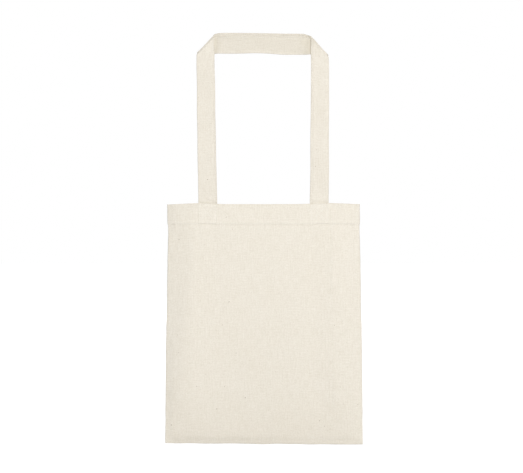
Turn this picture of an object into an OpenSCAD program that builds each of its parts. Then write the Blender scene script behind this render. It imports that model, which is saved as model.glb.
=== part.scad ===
// Flat canvas tote bag with two long handles, held up by its handles.
// +X is to the right, the front faces -Y and +Z is up. The origin is the
// middle of the loop: under the front handle's top run, where a hook or a
// hand holds the bag. Every layer of cloth and every row of thread is its
// own piece, laid out from the middle plane (y = 0) outwards.

/* [Bag body] */
// Width across the mouth
mouth_w = 327; // [270:1:460]
// Width across the bottom
bottom_w = 334; // [270:1:460]
// Height from the bottom edge to the mouth
bag_h = 406; // [260:1:600]
// Height of the curved margin above the bottom seam
bottom_margin = 70; // [50:1:110]

/* [Cloth] */
// Thickness of one layer of canvas
cloth_t = 0.6; // [0.4:0.05:1.0]
// Depth of the turned-in hem
hem_h = 36; // [26:1:60]
// Width of the seam allowances inside the bag
allowance_w = 10; // [6:0.5:14]

/* [Handles] */
// Width of the handle strap
strap_w = 32; // [20:1:45]
// Thickness of the handle strap, four layers pressed together
strap_t = 2.2; // [1.4:0.1:3.6]
// Distance between the two legs of a handle, centre to centre, at the mouth
leg_spacing = 189; // [120:1:210]
// How much further apart the legs stand at the top of the handle
leg_splay = 4; // [0:0.5:12]
// Height of the loop, from the mouth to the underside of the front top run
loop_h = 254; // [150:1:400]
// How much higher the back handle stands
back_rise = 4; // [0:0.5:10]
// How far a strap's sewn end stops above the hem's lower edge
tail_in = 2; // [1:0.5:8]

/* [Stitching] */
// Thickness of a laid thread
thread_t = 0.4; // [0.3:0.05:0.6]
// Width of a row of thread
thread_w = 0.6; // [0.4:0.1:1.0]
// Distance of the hem stitching above the hem's lower edge
hem_stitch_in = 2.5; // [1.5:0.5:5]
// Distance of the box stitching from the edges of the strap
box_in = 2.5; // [1.5:0.5:5]
// Distance of the handle's edge stitching from the strap's edge
edge_in = 3; // [2:0.5:6]
// Width of the overlock wrapping on the seam allowances
overlock_w = 4; // [2:0.5:5]

/* [Hidden] */

canvas = [0.93, 0.90, 0.84];
canvas_inside = [0.90, 0.87, 0.80];
strap_cloth = [0.91, 0.88, 0.81];
thread_colour = [0.97, 0.95, 0.90];

// Clearances between layers that only touch in the real bag
layer_gap = 0.05;
hinge_gap = 0.6;       // free strap above the mouth and tail below it
fold_gap = 0.3;        // between a leg and the run folded behind it
handle_gap = 1.4;      // between the two handles' top runs
seam_clear = 0.5;      // either side of the turned-in allowances
hem_step = 0.4;        // how far the hem stands proud of the panel below
overlock_t = 0.3;      // thickness of the overlock thread wrapping
flat_past_strap = 3;   // flat of the panel beyond the strap's outer edge
hem_end = 4;           // the hem band stops this far from the side seam
crease_w = 1.2;        // width of the sewn edge where the strap folds back
step_h = 1;            // height over which the hem steps outwards

// Layers from the middle plane outwards, the same to the front and the back
run_y0 = handle_gap / 2;
run_y1 = run_y0 + strap_t;
leg_y0 = run_y1 + fold_gap;
leg_y1 = leg_y0 + strap_t;
hem_t = 2 * cloth_t;
hem_y0 = leg_y1 + 2 * layer_gap;
hem_y1 = hem_y0 + hem_t;
hem_panel_y0 = hem_y1 + layer_gap;
panel_y0 = hem_panel_y0 - hem_step;
panel_y1 = panel_y0 + cloth_t;

// Heights
mouth_z = -loop_h;
bottom_z = mouth_z - bag_h;
hem_z = mouth_z - hem_h;
tail_h = hem_h - tail_in;
hem_stitch_z = hem_z + hem_stitch_in;

// The panel is flat as far as the outer edges of the straps
flat_x = leg_spacing / 2 + strap_w / 2 + flat_past_strap;
allowance_t = 2 * cloth_t;
seam_gap = allowance_t + 2 * seam_clear + 0.2;
crown = 2 * panel_y0 - seam_gap;
allowance_y0 = panel_y0 - seam_clear - allowance_t;
seam_in = 2;                               // from the side edge to the allowance
side_steps = 8;
bottom_steps = 8;

function half_w(z) = (mouth_w + (bottom_w - mouth_w) * (mouth_z - z) / bag_h) / 2;
function ease(a) = sin(90 * min(1, max(0, a)));
function side_margin(z) = half_w(z) - flat_x;
function out_of_step(z) = min(1, max(0, (z - hem_z + step_h) / step_h));

// Inner face of the front panel. It starts a seam's thickness in front of
// the back panel and rises to the flat of the panel.
function front_y(x, z) = panel_y0 - seam_gap - hem_step * out_of_step(z)
  - crown * ease((half_w(z) - abs(x)) / side_margin(z)) * ease((z - bottom_z) / bottom_margin);

// Columns of a front sheet at height z, from one side edge to the other
function columns(z, inset) =
  let (edge = half_w(z) - inset, run = edge - flat_x,
       right = [for (i = [0:side_steps]) flat_x + run * i / side_steps])
  concat([for (i = [side_steps:-1:0]) -right[i]], right);

// A sheet that follows the front panel at the heights zs, between the
// offsets a (outer, more negative) and b (inner) from its inner face
module front_sheet(zs, inset, a, b) {
  n = 2 * (side_steps + 1);
  rows = len(zs);
  pts = [for (off = [a, b]) for (z = zs) for (x = columns(z, inset)) [x, front_y(x, z) + off, z]];
  function id(s, r, c) = s * rows * n + r * n + c;
  faces = concat(
    [for (r = [0:rows - 2]) for (c = [0:n - 2]) each [
      [id(0, r, c), id(0, r + 1, c), id(0, r + 1, c + 1)],
      [id(0, r, c), id(0, r + 1, c + 1), id(0, r, c + 1)],
      [id(1, r, c), id(1, r + 1, c + 1), id(1, r + 1, c)],
      [id(1, r, c), id(1, r, c + 1), id(1, r + 1, c + 1)]]],
    [for (r = [0:rows - 2]) each [
      [id(0, r, 0), id(1, r + 1, 0), id(0, r + 1, 0)],
      [id(0, r, 0), id(1, r, 0), id(1, r + 1, 0)],
      [id(0, r, n - 1), id(0, r + 1, n - 1), id(1, r + 1, n - 1)],
      [id(0, r, n - 1), id(1, r + 1, n - 1), id(1, r, n - 1)]]],
    [for (c = [0:n - 2]) each [
      [id(0, 0, c), id(0, 0, c + 1), id(1, 0, c + 1)],
      [id(0, 0, c), id(1, 0, c + 1), id(1, 0, c)],
      [id(0, rows - 1, c), id(1, rows - 1, c + 1), id(0, rows - 1, c + 1)],
      [id(0, rows - 1, c), id(1, rows - 1, c), id(1, rows - 1, c + 1)]]]);
  polyhedron(points = pts, faces = faces, convexity = 4);
}

// An outline drawn in X and Z, made solid between two values of y
module wall(y0, y1) {
  translate([0, y1, 0]) rotate([90, 0, 0]) linear_extrude(height = y1 - y0) children();
}

// A strip beside a side edge, between two distances in from it
module side_strip(in0, in1, z0, z1) {
  polygon([[half_w(z0) - in0, z0], [half_w(z1) - in0, z1],
           [half_w(z1) - in1, z1], [half_w(z0) - in1, z0]]);
}

module to_left() { mirror([1, 0, 0]) children(); }
module to_front() { mirror([0, 1, 0]) children(); }

// Panels -----------------------------------------------------------------

module front_panel() {
  margin_rows = [for (i = [0:bottom_steps]) bottom_z + bottom_margin * i / bottom_steps];
  color(canvas)
    front_sheet(concat(margin_rows, [hem_z - step_h, hem_z, mouth_z]), 0, -cloth_t, 0);
}

module back_outline(z0, z1) {
  polygon([[-half_w(z0), z0], [half_w(z0), z0], [half_w(z1), z1], [-half_w(z1), z1]]);
}

module back_panel() {
  color(canvas) {
    wall(panel_y0, panel_y1) back_outline(bottom_z, hem_z);
    wall(panel_y0, panel_y1 + hem_step) back_outline(hem_z - step_h, hem_z);
    wall(panel_y0 + hem_step, panel_y1 + hem_step) back_outline(hem_z - step_h, mouth_z);
  }
}

// Turned-in hems: two layers of cloth inside the mouth --------------------

module front_hem() {
  color(canvas_inside)
    front_sheet([hem_z, mouth_z], hem_end, layer_gap, layer_gap + hem_t);
}

module back_hem() {
  color(canvas_inside)
    wall(hem_y0, hem_y1)
      polygon([[hem_end - half_w(hem_z), hem_z], [half_w(hem_z) - hem_end, hem_z],
               [half_w(mouth_z) - hem_end, mouth_z], [hem_end - half_w(mouth_z), mouth_z]]);
}

// Seam allowances, both layers turned to the back panel -------------------

seam_z0 = bottom_z + seam_in + allowance_w + overlock_w;
seam_z1 = hem_z - step_h - 1;

module side_allowance() {
  color(canvas_inside)
    wall(allowance_y0, allowance_y0 + allowance_t)
      side_strip(seam_in, seam_in + allowance_w, seam_z0, seam_z1);
}

module right_side_seam() { side_allowance(); }
module left_side_seam() { to_left() side_allowance(); }

bottom_half = half_w(bottom_z) - seam_in - allowance_w / 2;

module bottom_seam() {
  color(canvas_inside)
    translate([-bottom_half, allowance_y0, bottom_z + seam_in])
      cube([2 * bottom_half, allowance_t, allowance_w]);
}

// Handles ------------------------------------------------------------------

leg_x0 = leg_spacing / 2;
leg_x1 = leg_x0 + leg_splay / 2;
leg_z0 = mouth_z + hinge_gap;

// One leg, cut at 45 degrees where the strap folds back behind it
module leg_outline(run_z) {
  polygon([[leg_x0 - strap_w / 2, leg_z0], [leg_x0 + strap_w / 2, leg_z0],
           [leg_x1 + strap_w / 2, run_z], [leg_x1 - strap_w / 2, run_z + strap_w]]);
}

// The pressed crease along the 45 degree fold
module crease_outline(run_z) {
  polygon([[leg_x1 + strap_w / 2, run_z], [leg_x1 - strap_w / 2, run_z + strap_w],
           [leg_x1 - strap_w / 2, run_z + strap_w - crease_w],
           [leg_x1 + strap_w / 2 - crease_w, run_z]]);
}

module run_outline(run_z) {
  far = leg_x1 + strap_w / 2;
  near = leg_x1 - strap_w / 2;
  polygon([[-far, run_z], [far, run_z], [near, run_z + strap_w], [-near, run_z + strap_w]]);
}

// A whole free loop of strap, on the back side of the middle plane
module loop(run_z) {
  color(strap_cloth) {
    wall(leg_y0, leg_y1) {
      leg_outline(run_z);
      to_left() leg_outline(run_z);
    }
    wall(run_y0, leg_y1) {
      crease_outline(run_z);
      to_left() crease_outline(run_z);
    }
    wall(run_y0, run_y1) run_outline(run_z);
  }
}

module front_handle() { to_front() loop(0); }
module back_handle() { loop(back_rise); }

// The strap's sewn end, inside the hem
module tail() {
  color(strap_cloth)
    translate([leg_x0 - strap_w / 2, leg_y0, mouth_z - tail_h])
      cube([strap_w, strap_t, tail_h]);
}

module back_right_strap_end() { tail(); }
module back_left_strap_end() { to_left() tail(); }
module front_right_strap_end() { to_front() tail(); }
module front_left_strap_end() { to_front() to_left() tail(); }

// Stitching ----------------------------------------------------------------

// A square with a cross in it, drawn with thread
module box_and_cross(w, h) {
  difference() {
    square([w, h], center = true);
    square([w - 2 * thread_w, h - 2 * thread_w], center = true);
  }
  intersection() {
    square([w, h], center = true);
    for (s = [-1, 1])
      rotate(s * atan2(h, w)) square([2 * (w + h), thread_w], center = true);
  }
}

// The box stitch that fastens a strap end, on the panel and on the strap
module box_stitch() {
  w = strap_w - 2 * box_in;
  h = tail_h - 2 * box_in;
  outside = panel_y1 + hem_step + layer_gap;
  inside = leg_y0 - layer_gap;
  color(thread_colour) {
    wall(outside, outside + thread_t)
      translate([leg_x0, mouth_z - tail_h / 2]) box_and_cross(w, h);
    wall(inside - thread_t, inside)
      translate([leg_x0, mouth_z - tail_h / 2]) box_and_cross(w, h);
  }
}

module back_right_box_stitch() { box_stitch(); }
module back_left_box_stitch() { to_left() box_stitch(); }
module front_right_box_stitch() { to_front() box_stitch(); }
module front_left_box_stitch() { to_front() to_left() box_stitch(); }

hem_row = [hem_stitch_z - thread_w / 2, hem_stitch_z + thread_w / 2];

// The row that holds the hem shows outside; a strap end hides it inside
module front_hem_stitch() {
  color(thread_colour)
    front_sheet(hem_row, hem_end, -cloth_t - layer_gap - thread_t, -cloth_t - layer_gap);
}

module back_hem_stitch() {
  half = half_w(hem_stitch_z) - hem_end;
  outside = panel_y1 + hem_step + layer_gap;
  color(thread_colour)
    translate([-half, outside, hem_row[0]]) cube([2 * half, thread_t, thread_w]);
}

seam_thread_y0 = panel_y0 - seam_gap / 2 - thread_t / 2;

module side_seam_stitch() {
  color(thread_colour)
    wall(seam_thread_y0, seam_thread_y0 + thread_t)
      side_strip(seam_in / 2 - thread_w / 2, seam_in / 2 + thread_w / 2, bottom_z + seam_in, seam_z1);
}

module right_seam_stitch() { side_seam_stitch(); }
module left_seam_stitch() { to_left() side_seam_stitch(); }

module bottom_seam_stitch() {
  color(thread_colour)
    translate([-bottom_half, seam_thread_y0, bottom_z + seam_in / 2 - thread_w / 2])
      cube([2 * bottom_half, thread_t, thread_w]);
}

// Overlock thread wrapped round the free edge of an allowance: a channel
// over its last few millimetres
overlock_y0 = allowance_y0 - layer_gap - overlock_t;
overlock_y1 = allowance_y0 + allowance_t + layer_gap + overlock_t;

module side_overlock() {
  edge = seam_in + allowance_w;
  color(thread_colour)
    difference() {
      wall(overlock_y0, overlock_y1)
        side_strip(edge - overlock_w, edge + layer_gap + overlock_t, seam_z0, seam_z1);
      wall(overlock_y0 + overlock_t, overlock_y1 - overlock_t)
        side_strip(edge - overlock_w - 1, edge + layer_gap, seam_z0 - 1, seam_z1 + 1);
    }
}

module right_overlock() { side_overlock(); }
module left_overlock() { to_left() side_overlock(); }

module bottom_overlock() {
  edge = bottom_z + seam_in + allowance_w;
  color(thread_colour)
    difference() {
      translate([-bottom_half, overlock_y0, edge - overlock_w])
        cube([2 * bottom_half, overlock_y1 - overlock_y0, overlock_w + layer_gap + overlock_t]);
      translate([-bottom_half - 1, overlock_y0 + overlock_t, edge - overlock_w - 1])
        cube([2 * bottom_half + 2, overlock_y1 - overlock_y0 - 2 * overlock_t, overlock_w + 1 + layer_gap]);
    }
}

// Edge stitching of a handle. It runs up the inner edge of each leg and,
// past the fold, along the top edge of the run, on both faces of the strap.
module leg_row(z_end) {
  x0 = leg_x0 - strap_w / 2 + edge_in;
  x1 = x0 + (leg_x1 - leg_x0) * (z_end - leg_z0) / -leg_z0;
  polygon([[x0 - thread_w / 2, leg_z0], [x0 + thread_w / 2, leg_z0],
           [x1 + thread_w / 2, z_end], [x1 - thread_w / 2, z_end]]);
}

module run_row(run_z, half) {
  translate([-half, run_z + strap_w - edge_in - thread_w / 2]) square([2 * half, thread_w]);
}

module loop_stitch(run_z) {
  clear_run = leg_x0 - strap_w / 2 - 1;
  row_top = run_z + strap_w - edge_in - 1;
  color(thread_colour) {
    wall(leg_y1 + layer_gap, leg_y1 + layer_gap + thread_t) {
      leg_row(row_top);
      to_left() leg_row(row_top);
    }
    wall(leg_y0 - layer_gap - thread_t, leg_y0 - layer_gap) {
      leg_row(run_z - 1);
      to_left() leg_row(run_z - 1);
    }
    wall(run_y1 + layer_gap, run_y1 + layer_gap + thread_t) run_row(run_z, clear_run);
    wall(run_y0 - layer_gap - thread_t, run_y0 - layer_gap) run_row(run_z, leg_x1 - strap_w / 2);
  }
}

module front_handle_stitch() { to_front() loop_stitch(0); }
module back_handle_stitch() { loop_stitch(back_rise); }

front_panel();
back_panel();
front_hem();
back_hem();
left_side_seam();
right_side_seam();
bottom_seam();
front_handle();
back_handle();
front_left_strap_end();
front_right_strap_end();
back_left_strap_end();
back_right_strap_end();
front_left_box_stitch();
front_right_box_stitch();
back_left_box_stitch();
back_right_box_stitch();
front_hem_stitch();
back_hem_stitch();
left_seam_stitch();
right_seam_stitch();
bottom_seam_stitch();
left_overlock();
right_overlock();
bottom_overlock();
front_handle_stitch();
back_handle_stitch();
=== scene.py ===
"""Looks of the canvas tote bag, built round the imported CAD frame.

Lengths are metres. +X is right, the front faces -Y, +Z is up. The bag hangs
by its handles: the mouth, the hem, the seams and the straps take their places
from the CAD nodes. Cloth is built as real sheets with two faces, each row of
stitches as separate loops of thread.
"""

import math

import bpy
import numpy as np
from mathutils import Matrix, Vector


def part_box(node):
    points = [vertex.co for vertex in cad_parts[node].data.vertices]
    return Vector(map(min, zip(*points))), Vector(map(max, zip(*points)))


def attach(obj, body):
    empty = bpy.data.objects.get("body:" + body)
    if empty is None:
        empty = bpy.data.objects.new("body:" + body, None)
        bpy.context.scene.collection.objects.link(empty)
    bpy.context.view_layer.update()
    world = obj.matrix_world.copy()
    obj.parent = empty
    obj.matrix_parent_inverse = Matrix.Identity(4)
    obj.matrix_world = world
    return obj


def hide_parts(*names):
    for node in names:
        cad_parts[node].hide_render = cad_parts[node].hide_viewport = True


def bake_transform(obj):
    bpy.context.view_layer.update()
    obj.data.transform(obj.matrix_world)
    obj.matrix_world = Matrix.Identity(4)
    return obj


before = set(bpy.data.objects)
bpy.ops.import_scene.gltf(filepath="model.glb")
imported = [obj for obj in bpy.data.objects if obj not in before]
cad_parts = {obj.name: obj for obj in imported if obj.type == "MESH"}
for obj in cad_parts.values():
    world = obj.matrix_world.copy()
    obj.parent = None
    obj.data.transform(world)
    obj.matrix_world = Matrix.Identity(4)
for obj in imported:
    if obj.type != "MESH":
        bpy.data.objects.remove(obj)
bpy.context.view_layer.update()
rng = np.random.default_rng(7)

# ---- sizes

MM = 0.001
panel_low, panel_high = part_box("back_panel")
front_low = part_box("front_panel")[0]
hem_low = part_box("back_hem")[0]
tail_low, tail_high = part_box("front_right_strap_end")
front_loop_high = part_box("front_handle")[1]
back_loop_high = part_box("back_handle")[1]
box_low, box_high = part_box("front_right_box_stitch")
hem_row_low, hem_row_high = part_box("front_hem_stitch")
seam_low, seam_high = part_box("right_side_seam")
bottom_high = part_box("bottom_seam")[1]

MOUTH = panel_high.z
BOTTOM = panel_low.z
HEM_H = MOUTH - hem_low.z  # depth of the turned-in hem
HEM_ROW = MOUTH - (hem_row_low.z + hem_row_high.z) / 2
BOTTOM_HALF = panel_high.x
cad_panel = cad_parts["back_panel"].data
MOUTH_HALF = max(v.co.x for v in cad_panel.vertices if v.co.z > MOUTH - MM)
STRAP_W = tail_high.x - tail_low.x
STRAP_T = tail_high.y - tail_low.y
STRAP_X = (tail_low.x + tail_high.x) / 2
TAIL_H = MOUTH - tail_low.z
LEG_TOP_X = front_loop_high.x - STRAP_W / 2  # middle of a leg at the top
LEG_INNER_X = LEG_TOP_X - STRAP_W / 2  # its inner edge, where the run is free
LEG_Y = (tail_low.y + tail_high.y) / 2  # middle of a front leg's thickness
RUN_Y = front_loop_high.y - STRAP_T / 2  # middle of the front run's thickness
FRONT_Y = front_low.y  # outer face of the front hem
BACK_Y = panel_high.y

CLOTH = 0.6 * MM  # one layer of canvas
FOLD_R = 0.92 * MM  # half the thickness of the folded mouth edge
SEAM_Y = 2.5 * MM  # the side and bottom seams lie in this plane
SEAM_ROLL = 1.5 * MM  # half the thickness of a turned seam
HEM_PROUD = 0.7 * MM  # how far the hem stands off the panel below
SIDE_EASE = MOUTH_HALF - STRAP_X - STRAP_W / 2 - 3 * MM
BOTTOM_EASE = 95 * MM  # over these two, from side and bottom seams, a panel comes to its full depth
STITCH = 3.2 * MM  # stitch pitch
BOX_STITCH = 2.8 * MM  # pitch of the box stitching
STITCH_INSET = 3 * MM  # the straps' edge stitching, from their edge
THREAD_R = 0.27 * MM
OVERLOCK_R = 0.2 * MM  # radius of the overlock thread
ALLOWANCE = 12 * MM  # width of a seam allowance
ALLOWANCE_WAVE = 0.35 * MM  # how far its free edge waves
SEAM_INSET = 1.5 * MM  # seam stitching, in from the turned edge
SHELL_CELL = 6 * MM  # cell of the simulated cloth
SETTLE_FRAMES = 24  # how long it is simulated
SAG_CAP = 2.8 * MM  # how far the simulated cloth may move
GRID = 2.6 * MM  # widest spacing of the panels' mesh
RING = 3 * MM  # usual spacing of the straps' rings
WEAVE = 0.62 * MM  # thread spacing of the canvas
RUN_TILT = math.tan(math.radians(14))  # the handles' top runs lean forward


def smooth(a):
    a = np.clip(a, 0.0, 1.0)
    return a * a * (3 - 2 * a)


def ease(a):
    return np.sin(np.clip(a, 0.0, 1.0) * np.pi / 2)


def bell(a):
    return np.exp(-a * a)


def make_waves(count, shortest, longest, stretch=1.0):
    """A smooth random field of two coordinates, about 1 high, from summed sine waves."""
    angle = rng.uniform(0, 2 * np.pi, count)
    length = np.exp(rng.uniform(np.log(shortest), np.log(longest), count))
    kx = np.cos(angle) * 2 * np.pi / length
    kz = np.sin(angle) * 2 * np.pi / length / stretch
    phase = rng.uniform(0, 2 * np.pi, count)

    def field(x, z):
        total = 0
        for a, b, p in zip(kx, kz, phase):
            total = total + np.sin(a * x + b * z + p)
        return total / math.sqrt(count / 2)
    return field


slow_front = make_waves(9, 0.09, 0.30, 2.2)
slow_back = make_waves(9, 0.09, 0.30, 2.2)
fine_front = make_waves(14, 0.018, 0.05, 2.6)
fine_back = make_waves(14, 0.018, 0.05, 2.6)
pucker_front = make_waves(12, 0.005, 0.016)
pucker_back = make_waves(12, 0.005, 0.016)
edge_waves = make_waves(8, 0.02, 0.08)
strap_waves = make_waves(8, 0.05, 0.16)

# ---- the bag's surface


def half_width(z):
    """Half the width of the bag at height z, drawn in a little just under the hem."""
    h = MOUTH - z
    straight = MOUTH_HALF + (BOTTOM_HALF - MOUTH_HALF) * h / (MOUTH - BOTTOM)
    below_hem = smooth((h - HEM_ROW + 2 * MM) / (5 * MM))
    waist = 1.05 * MM * bell((h - HEM_H) / (50 * MM)) * below_hem
    corner = 0.6 * MM * bell(h / (7 * MM))
    swell = 1.1 * MM * smooth((h - 160 * MM) / (80 * MM))
    return straight - waist + corner + swell + 0.09 * MM * edge_waves(0 * z, z)


def hang_shift(z):
    """The body hangs a little to the right of the mouth."""
    return 0.8 * MM * smooth((MOUTH - z) / (70 * MM))


def mouth_lift(x):
    """The straps hold the mouth up; it sinks a little between them and at the corners."""
    from_left = x + STRAP_X + 6 * MM
    left_strap = bell(from_left / np.where(from_left < 0, 36 * MM, 20 * MM))
    right_strap = bell((x - STRAP_X - 17 * MM) / (36 * MM))
    left_corner = smooth((-x - MOUTH_HALF + 34 * MM) / (34 * MM))
    return 1.9 * MM * left_strap + 1.8 * MM * right_strap - 0.3 * MM - 0.4 * MM * left_corner


def place_z(x, z):
    """Height of a point of cloth, with the mouth's wave and a bottom edge that isn't quite level."""
    near_mouth = np.exp(-(MOUTH - z) / (70 * MM))
    near_bottom = smooth((MOUTH - z) / (MOUTH - BOTTOM))
    return z + mouth_lift(x) * near_mouth - near_bottom * (2.1 * MM + 1.15 * MM * x / BOTTOM_HALF)


def segment_distance(x, z, a, b):
    """Distance from points to a segment in the panel's plane."""
    dx, dz = b[0] - a[0], b[1] - a[1]
    t = np.clip(((x - a[0]) * dx + (z - a[1]) * dz) / (dx * dx + dz * dz), 0, 1)
    return np.hypot(x - a[0] - t * dx, z - a[1] - t * dz)


def box_lines():
    """The six rows of one box stitch, in the panel's plane, on the right side."""
    lo, hi = (box_low.x, box_low.z), (box_high.x, box_high.z)
    a, b, c, d = lo, (hi[0], lo[1]), hi, (lo[0], hi[1])
    return [(a, b), (b, c), (c, d), (d, a), (a, c), (b, d)]


def strap_print(x, z):
    """How the sewn strap end and its box stitching show through the cloth in front of it."""
    ax = np.abs(x)
    across = smooth((STRAP_W / 2 - np.abs(ax - STRAP_X)) / (1.3 * MM) + 0.5)
    below = smooth((z - MOUTH + TAIL_H) / (1.3 * MM) + 0.5)
    pulled = 0
    for a, b in box_lines():
        pulled = np.maximum(pulled, bell(segment_distance(ax, z, a, b) / (0.8 * MM)))
    return 0.60 * MM * across * below - 0.45 * MM * pulled


def hem_relief(x, z, puckers, side):
    """Outward relief of the hem: proud of the panel, with a ridge above its stitching, a groove at
    it, small puckers along it and one dent below it near the side seam."""
    h = MOUTH - z
    proud = HEM_PROUD * smooth((HEM_ROW + 3.6 * MM - h) / (4.4 * MM))
    ridge = 0.36 * MM * bell((h - HEM_ROW + 1.2 * MM) / (1.7 * MM))
    dimple = 0.75 + 0.25 * np.cos(2 * np.pi * x / STITCH)
    groove = 0.16 * MM * dimple * bell((h - HEM_ROW) / (0.7 * MM))
    near_row = bell((h - HEM_ROW - 1 * MM) / (7 * MM))
    strength = 0.16 + 0.10 * np.sin(x * 31 + side)
    strength = strength + 0.4 * bell((x * side - 149 * MM) / (10 * MM))
    gathered = strength * MM * puckers(x, 0.35 * z) * near_row
    dent = np.hypot((x * side - 151 * MM + 0.5 * (h - 40 * MM)) / (4 * MM), (h - 40 * MM) / (8 * MM))
    gathered = gathered - 0.8 * MM * bell(dent)
    return proud + ridge - groove + gathered


def bag_face(u, z, side, sag):
    """Outer face of the bag at u (-1 to 1 across) and nominal height z. side is 1 for the
    front and -1 for the back; sag is the simulated cloth's own offset, outwards."""
    half = half_width(z)
    x = u * half
    e = (1 - np.abs(u)) * half
    f = z - BOTTOM
    edge = np.minimum(e, f)
    roll = SEAM_ROLL * np.sqrt(np.clip(1 - (1 - np.clip(edge / SEAM_ROLL, 0, 1)) ** 2, 0, 1))
    flat = abs((FRONT_Y if side > 0 else BACK_Y) - SEAM_Y) - SEAM_ROLL - HEM_PROUD
    rise = ease(e / SIDE_EASE) * ease(f / BOTTOM_EASE)
    away = smooth(e / (14 * MM)) * smooth(f / (14 * MM))
    body = smooth((MOUTH - z - 20 * MM) / (70 * MM))
    slow = (slow_front if side > 0 else slow_back)(x, z) * 0.55 * MM * (0.25 + 0.75 * body)
    fine = (fine_front if side > 0 else fine_back)(x, z) * 0.045 * MM
    puckers = pucker_front if side > 0 else pucker_back
    relief = hem_relief(x, z, puckers, side) + strap_print(x, z)
    at_seam = bell((e - 4 * MM) / (7 * MM)) * smooth(e / (3 * MM))
    depth = roll + flat * rise + away * (slow + fine + relief + sag(u, z))
    depth = depth + 0.16 * MM * puckers(0.3 * x, z) * at_seam
    height = place_z(x, z) + 0.2 * MM * edge_waves(x, 0 * z) * bell(f / (12 * MM))
    return np.stack([x + hang_shift(z), SEAM_Y - side * depth, height], -1)


def no_sag(u, z):
    return 0 * u


# ---- the hanging cloth, simulated


def grid_quads(g):
    """The faces between the rows and columns of a grid of vertex numbers."""
    return np.stack([g[:-1, :-1], g[:-1, 1:], g[1:, 1:], g[1:, :-1]], -1).reshape(-1, 4)


def simulate_shell():
    """Hangs a coarse shell of the whole bag from its strap ends, with a little air in it, and
    returns how far the front and the back moved outwards, on the grid (zs, us)."""
    us = np.linspace(-1, 1, round(2 * BOTTOM_HALF / SHELL_CELL) + 1)
    zs = np.linspace(BOTTOM, MOUTH, round((MOUTH - BOTTOM) / SHELL_CELL) + 1)
    start = {side: bag_face(*np.meshgrid(us, zs), side, no_sag) for side in (1, -1)}
    rows, cols = len(zs), len(us)
    index = {1: np.arange(rows * cols).reshape(rows, cols)}
    other = index[1].copy()
    inner = np.zeros((rows, cols), bool)
    inner[1:, 1:-1] = True  # the back shares the seams with the front
    other[inner] = rows * cols + np.arange(inner.sum())
    index[-1] = other
    verts = np.vstack([start[1].reshape(-1, 3), start[-1][inner]])
    faces = []
    for side in (1, -1):
        faces += [tuple(q[::side]) for q in grid_quads(index[side]).tolist()]
    mesh = bpy.data.meshes.new("shell")
    mesh.from_pydata(verts.tolist(), [], faces)
    shell = bpy.data.objects.new("shell", mesh)
    bpy.context.scene.collection.objects.link(shell)
    pins = shell.vertex_groups.new(name="sewn")
    over_strap = np.abs(np.abs(verts[:, 0]) - STRAP_X) < STRAP_W / 2
    held = over_strap & (verts[:, 2] > MOUTH - TAIL_H)
    pins.add(np.flatnonzero(held).tolist(), 1.0, "REPLACE")
    rim = ~held & (verts[:, 2] > MOUTH - 8 * MM)
    pins.add(np.flatnonzero(rim).tolist(), 0.2, "REPLACE")
    cloth = shell.modifiers.new("cloth", "CLOTH")
    s = cloth.settings
    s.quality = 6
    s.mass = 0.05
    s.air_damping = 4
    s.tension_stiffness = s.compression_stiffness = 60
    s.shear_stiffness = 25
    s.bending_stiffness = 1.5
    s.use_pressure = True
    s.uniform_pressure_force = 0.35
    s.vertex_group_mass = "sewn"
    s.pin_stiffness = 1
    cloth.collision_settings.use_collision = False
    cloth.point_cache.frame_end = SETTLE_FRAMES + 6
    scene = bpy.context.scene
    for f in range(1, SETTLE_FRAMES + 1):
        scene.frame_set(f)
    moved = shell.evaluated_get(bpy.context.evaluated_depsgraph_get()).data
    co = np.empty(len(verts) * 3)
    moved.vertices.foreach_get("co", co)
    co = co.reshape(-1, 3)
    scene.frame_set(1)
    offsets = {}
    for side in (1, -1):
        out = -side * (co[index[side].ravel(), 1].reshape(rows, cols) - start[side][..., 1])
        offsets[side] = SAG_CAP * np.tanh(out / SAG_CAP)
    bpy.data.objects.remove(shell)
    bpy.data.meshes.remove(mesh)
    return us, zs, offsets


def grid_reader(us, zs, values):
    """A function that reads a grid of values smoothly between its points."""
    def read(u, z):
        fu = (np.clip(u, -1, 1) - us[0]) / (us[1] - us[0])
        fz = (np.clip(z, zs[0], zs[-1]) - zs[0]) / (zs[1] - zs[0])
        i = np.clip(fu.astype(int), 0, len(us) - 2)
        j = np.clip(fz.astype(int), 0, len(zs) - 2)
        a, b = smooth(fu - i), smooth(fz - j)
        low = values[j, i] * (1 - a) + values[j, i + 1] * a
        high = values[j + 1, i] * (1 - a) + values[j + 1, i + 1] * a
        return low * (1 - b) + high * b
    return read


sags = {1: no_sag, -1: no_sag}
grid_u, grid_z, moved_out = simulate_shell()
for side, values in moved_out.items():
    sags[side] = grid_reader(grid_u, grid_z, values)

# ---- meshes


def new_piece(name, verts, faces, uv=None, wear_and_shade=None, material=None):
    """A smooth-shaded mesh object. uv is one pair per vertex, in metres of cloth."""
    mesh = bpy.data.meshes.new(name)
    mesh.from_pydata(np.asarray(verts, float).tolist(), [], faces)
    mesh.polygons.foreach_set("use_smooth", np.ones(len(mesh.polygons), bool))
    if uv is not None:
        corner = np.empty(len(mesh.loops), np.int32)
        mesh.loops.foreach_get("vertex_index", corner)
        layer = mesh.uv_layers.new(name="cloth")
        layer.data.foreach_set("uv", np.asarray(uv, np.float32)[corner].ravel())
    # the per-vertex dullness holds both real wear and painted shade
    if wear_and_shade is not None:
        layer = mesh.attributes.new("wear_and_shade", "FLOAT", "POINT")
        layer.data.foreach_set("value", np.asarray(wear_and_shade, np.float32))
    if material:
        mesh.materials.append(material)
    mesh.update()
    piece = bpy.data.objects.new(name, mesh)
    bpy.context.scene.collection.objects.link(piece)
    return piece


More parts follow.
